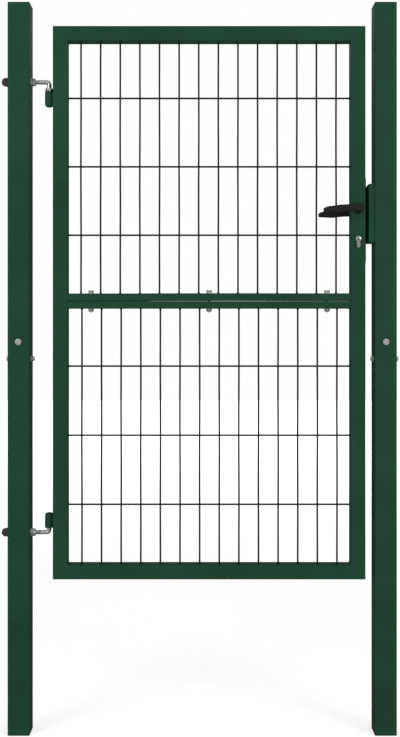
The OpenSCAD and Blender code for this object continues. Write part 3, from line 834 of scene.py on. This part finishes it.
def cylinder_piece():
    lo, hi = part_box("lock_cylinder")
    zc = hi.z - 8.5 * MM
    half = hi.y
    g = Geo()
    v, f = [], []
    rings = [(-0.55, -half), (0.0, -half + 0.55 * MM), (0.0, half - 0.55 * MM), (-0.55, half)]
    for grow, y in rings:
        v += [(X_LOCK + px * MM, y, zc + pz * MM) for px, pz in euro_outline(grow)]
    n = len(v) // 4
    for i in range(3):
        o = i * n
        f += [[o + k, o + (k + 1) % n, o + n + (k + 1) % n, o + n + k] for k in range(n)]
    f.append(list(range(n))[::-1]); f.append(list(range(3 * n, 4 * n)))
    g.add(v, f)
    for s in (-1, 1):                              # turning plug: a ring and its face, a little proud
        prof = [(0, -1.5), (6.4, -1.5), (6.4, 0.25), (6.1, 0.5), (0, 0.5)]
        g.add(*revolve([(a * MM, b * MM) for a, b in prof], 48), m=aim((X_LOCK, s * half, zc), (0, s, 0)))
    ob = piece("profile_cylinder", g, "nickel", "leaf", ("lock_cylinder",), 40.0)
    k = Geo()
    for s in (-1, 1):                              # dark keyway with its side ward: a thin black sheet on the plug face, painted shade where the slot would be
        y0, y1 = s * (half + 0.42 * MM), s * (half + 0.62 * MM)
        prof = [(-0.95, -3.0), (0.95, -3.0), (0.95, 0.4), (0.35, 0.9), (0.35, 1.7), (0.95, 2.2), (0.95, 5.4), (-0.95, 5.4), (-0.95, 2.9),
                (-0.45, 2.5), (-0.45, 1.4), (-0.95, 1.0)]
        vv = [(X_LOCK + a * MM, y, zc + b * MM) for y in (y0, y1) for a, b in prof]
        m = len(prof)
        ff = [list(range(m))[::-1], list(range(m, 2 * m))] + [[i, (i + 1) % m, m + (i + 1) % m, m + i] for i in range(m)]
        k.add(vv, ff)
    piece("keyway_painted_shade", k, "black_plastic", "leaf", (), 30.0)
    return ob


def lock_screws():
    g = Geo()
    lo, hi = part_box("lock_forend")
    z_mid = (lo.z + hi.z) / 2
    for dz in (-1, 1):                             # countersunk screws in the front plate
        z = z_mid + dz * ((hi.z - lo.z) / 2 - 11 * MM)
        g.add(*revolve([(0, -1.0 * MM), (3.6 * MM, -1.0 * MM), (3.9 * MM, 0.05 * MM), (3.5 * MM, 0.28 * MM), (1.4 * MM, 0.42 * MM), (0, 0.42 * MM)], 32),
              m=aim((hi.x, 0, z), (1, 0, 0)))
    # fixing screw of the cylinder, level with its web
    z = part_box("lock_cylinder")[1].z - 8.5 * MM - 17 * MM
    g.add(*revolve([(0, -1.0 * MM), (3.0 * MM, -1.0 * MM), (3.2 * MM, 0.05 * MM), (2.8 * MM, 0.3 * MM), (0, 0.4 * MM)], 32),
          m=aim((hi.x, 0, z), (1, 0, 0)))
    piece("lock_plate_screws", g, "zinc", "leaf", (), 35.0)


cylinder_piece(); lock_screws()


# ---------------------------------------------------------------- stage, light, camera

def floor():
    me = bpy.data.meshes.new("studio_floor")
    s = 14.0
    n = 24
    v = [(-s + 2 * s * i / n, -s + 2 * s * j / n, -0.0006) for j in range(n + 1) for i in range(n + 1)]
    f = [[j * (n + 1) + i, j * (n + 1) + i + 1, (j + 1) * (n + 1) + i + 1, (j + 1) * (n + 1) + i] for j in range(n) for i in range(n)]
    me.from_pydata(v, [], f)
    ob = bpy.data.objects.new("studio_floor", me)
    m, nt, p, co = new_material("pale_floor")
    nt.links.new(ramp(nt, noise(nt, co, 1.2, 3.0), [(0.3, (0.86, 0.86, 0.855)), (0.7, (0.90, 0.90, 0.895))]), p.inputs["Base Color"])
    p.inputs["Roughness"].default_value = 0.9
    p.inputs["Specular IOR Level"].default_value = 0.1
    p.inputs["Emission Color"].default_value = (1.0, 1.0, 1.0, 1.0)
    far = nt.nodes.new("ShaderNodeVectorMath")      # fades to pure white away from the gate
    far.operation = "LENGTH"
    nt.links.new(co.outputs["Object"], far.inputs[0])
    nt.links.new(span(nt, far.outputs["Value"], 0.55, 1.1, 2.0, 7.0), p.inputs["Emission Strength"])
    me.materials.append(m)
    bpy.context.scene.collection.objects.link(ob)
    ob.visible_glossy = False


def softbox(name, loc, target, size, energy):
    li = bpy.data.lights.new(name, "AREA")
    li.shape = "RECTANGLE"; li.size, li.size_y = size
    li.energy = energy
    ob = bpy.data.objects.new(name, li)
    ob.matrix_world = aim(loc, Vector(loc) - Vector(target))
    bpy.context.scene.collection.objects.link(ob)


def backdrop():
    """White all round for the eye alone: it neither lights the gate nor shows in its gloss."""
    bm = bmesh.new()
    bmesh.ops.create_uvsphere(bm, u_segments=48, v_segments=24, radius=24.0)
    me = bpy.data.meshes.new("studio_backdrop")
    bm.to_mesh(me); bm.free()
    ob = bpy.data.objects.new("studio_backdrop", me)
    m = bpy.data.materials.new("backdrop_white")
    m.use_nodes = True
    nt = m.node_tree
    for n in list(nt.nodes):
        nt.nodes.remove(n)
    out = nt.nodes.new("ShaderNodeOutputMaterial")
    em = nt.nodes.new("ShaderNodeEmission")
    em.inputs["Color"].default_value = (1.0, 1.0, 1.0, 1.0)
    em.inputs["Strength"].default_value = 1.0
    nt.links.new(em.outputs["Emission"], out.inputs["Surface"])
    me.materials.append(m)
    ob.visible_diffuse = ob.visible_glossy = ob.visible_transmission = ob.visible_shadow = False
    bpy.context.scene.collection.objects.link(ob)


floor()
backdrop()
w = bpy.data.worlds.new("studio_world")
w.use_nodes = True
wt = w.node_tree
bg = wt.nodes["Background"]
tc = wt.nodes.new("ShaderNodeTexCoord")
dp = wt.nodes.new("ShaderNodeVectorMath")
dp.operation = "DOT_PRODUCT"
dp.inputs[1].default_value = Vector((0.06, -0.92, 0.34)).normalized()
wt.links.new(tc.outputs["Generated"], dp.inputs[0])
mr = wt.nodes.new("ShaderNodeMapRange")
mr.inputs["From Min"].default_value = -1.0
mr.inputs["From Max"].default_value = 1.0
wt.links.new(dp.outputs["Value"], mr.inputs["Value"])
wr = wt.nodes.new("ShaderNodeValToRGB")
we = wr.color_ramp.elements
we.new(0.5)
we.new(0.6)
for el, (pos, g) in zip(we, ((0.05, 0.05), (0.34, 0.28), (0.58, 0.48), (0.95, 0.43))):
    el.position = pos
    el.color = (g, g, g, 1.0)
wt.links.new(mr.outputs["Result"], wr.inputs["Fac"])
wt.links.new(wr.outputs["Color"], bg.inputs["Color"])
bg.inputs["Strength"].default_value = 1.0
bpy.context.scene.world = w
softbox("key_box", (0.6, -3.8, 4.4), (0.5, 0, 1.1), (2.6, 2.0), 9.0)
softbox("left_box", (-2.3, -2.7, 2.5), (0.95, 0, 1.2), (1.8, 1.8), 40.0)
softbox("right_box", (3.4, -2.7, 2.5), (0.05, 0, 1.2), (1.8, 1.8), 42.0)
softbox("rim_box", (0.5, 5.5, 4.2), (0.5, 0, 1.5), (3.0, 2.0), 10.0)

cam = bpy.data.cameras.new("camera")
cam.sensor_fit = "VERTICAL"
cam.sensor_height = 36.0
cam.lens = 991.0 / 737.0 * 36.0
cam.clip_end = 60.0
cam_ob = bpy.data.objects.new("camera", cam)
cam.shift_y = -0.04443
cam_ob.location = (0.495, -2.730, 1.090)
cam_ob.rotation_euler = (math.pi / 2, 0, 0)
bpy.context.scene.collection.objects.link(cam_ob)
bpy.context.scene.camera = cam_ob
bpy.context.scene.view_settings.view_transform = "Standard"
